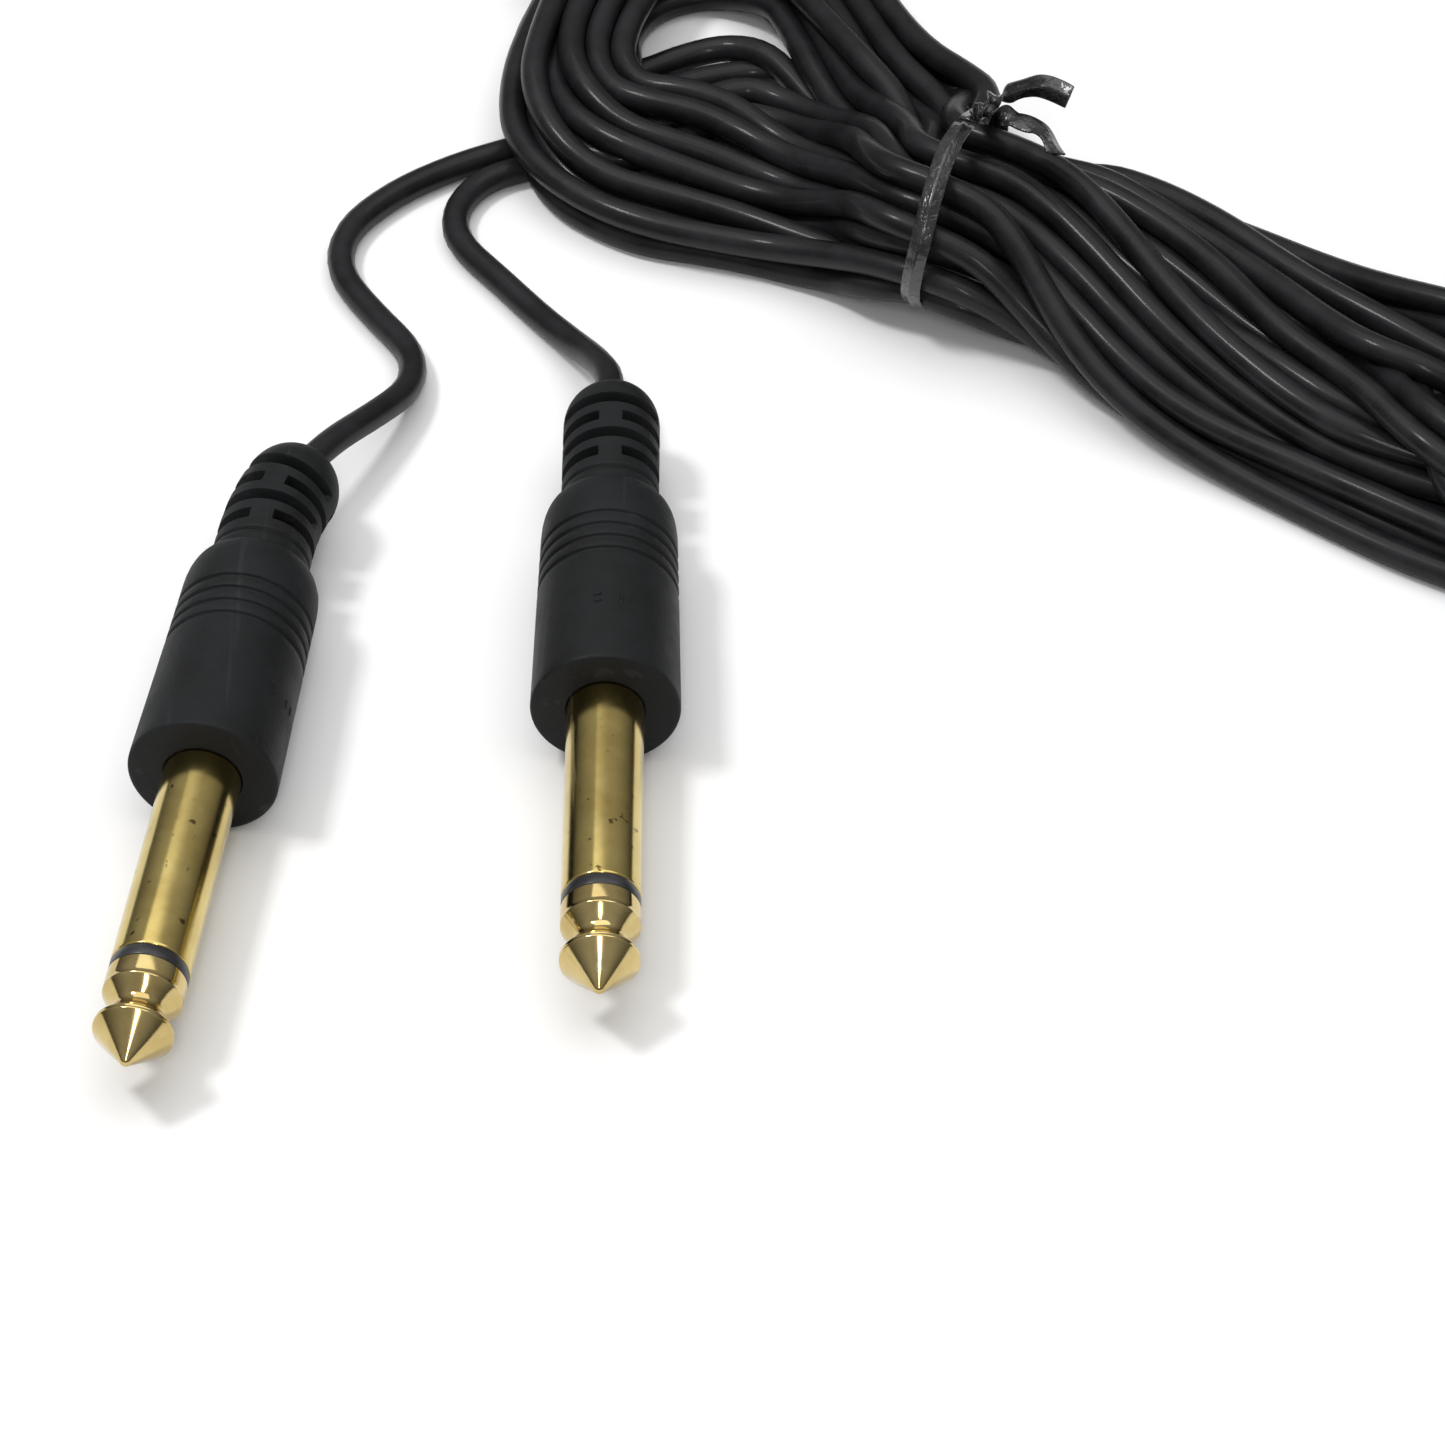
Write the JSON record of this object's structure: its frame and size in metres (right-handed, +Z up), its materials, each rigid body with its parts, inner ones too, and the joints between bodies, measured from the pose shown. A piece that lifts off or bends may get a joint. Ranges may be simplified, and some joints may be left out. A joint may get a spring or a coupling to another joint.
{
  "type": "instrument cable",
  "caption": "Thin round instrument cable with a moulded 6.35 mm mono plug on each end, wound into a hank and held by a twist tie.",
  "frame": {"origin": "on the standing surface, under the middle of the box round the two plugs", "axes": "+Z up; plug B lies along Y with its nose towards -Y; plug A lies beside it on the -X side, turned 7 degrees; the hank lies towards +Y and +X"},
  "size_m": [0.1468, 0.1525, 0.0184],
  "materials": {
    "tip_gold": "polished gold-coloured plating",
    "sleeve_gold": "gold-coloured plating, slightly dulled and spotted",
    "insulator": "satin black",
    "terminal": "tinned brass",
    "solder": "bright solder",
    "core_insulation": "natural polyethylene",
    "copper": "bare copper strands",
    "inner_mould": "as moulded",
    "moulding": "fine matt moulded PVC",
    "cord_jacket": "smooth, slightly glossy PVC",
    "tie_plastic": "glossy film",
    "tie_steel": "bare wire"
  },
  "bodies": {
    "cord": {"plug_a_strain_relief": "moulding", "plug_b_strain_relief": "moulding", "lead_a": "cord_jacket", "lead_b": "cord_jacket", "hank": "cord_jacket", "tie_ribbon": "tie_plastic", "tie_wire": "tie_steel"},
    "plug_a": {"plug_a_tip_contact": "tip_gold", "plug_a_tip_insulator": "insulator", "plug_a_sleeve_contact": "sleeve_gold", "plug_a_ground_terminal": "terminal", "plug_a_back_washer": "insulator", "plug_a_tip_terminal": "terminal", "plug_a_solder_joints": "solder", "plug_a_cord_jacket_end": "cord_jacket", "plug_a_core_insulation": "core_insulation", "plug_a_core_conductor": "copper", "plug_a_screen_tail": "copper", "plug_a_inner_mould": "inner_mould", "plug_a_body": "moulding"},
    "plug_b": {"plug_b_tip_contact": "tip_gold", "plug_b_tip_insulator": "insulator", "plug_b_sleeve_contact": "sleeve_gold", "plug_b_ground_terminal": "terminal", "plug_b_back_washer": "insulator", "plug_b_tip_terminal": "terminal", "plug_b_solder_joints": "solder", "plug_b_cord_jacket_end": "cord_jacket", "plug_b_core_insulation": "core_insulation", "plug_b_core_conductor": "copper", "plug_b_screen_tail": "copper", "plug_b_inner_mould": "inner_mould", "plug_b_body": "moulding"}
  },
  "joints": [
    {"name": "plug_a_flex", "type": "hinge", "parent": "cord", "child": "plug_a", "pos_m": [-0.0123, 0.02377, 0.00617], "axis": [0, 0, 1], "range_deg": [-25, 12], "stiffness_Nm_per_rad": 0.02, "deforming": ["plug_a_strain_relief"]},
    {"name": "plug_b_flex", "type": "hinge", "parent": "cord", "child": "plug_b", "pos_m": [0.0161, 0.03155, 0.00617], "axis": [0, 0, 1], "range_deg": [-12, 25], "stiffness_Nm_per_rad": 0.02, "deforming": ["plug_b_strain_relief"]}
  ]
}
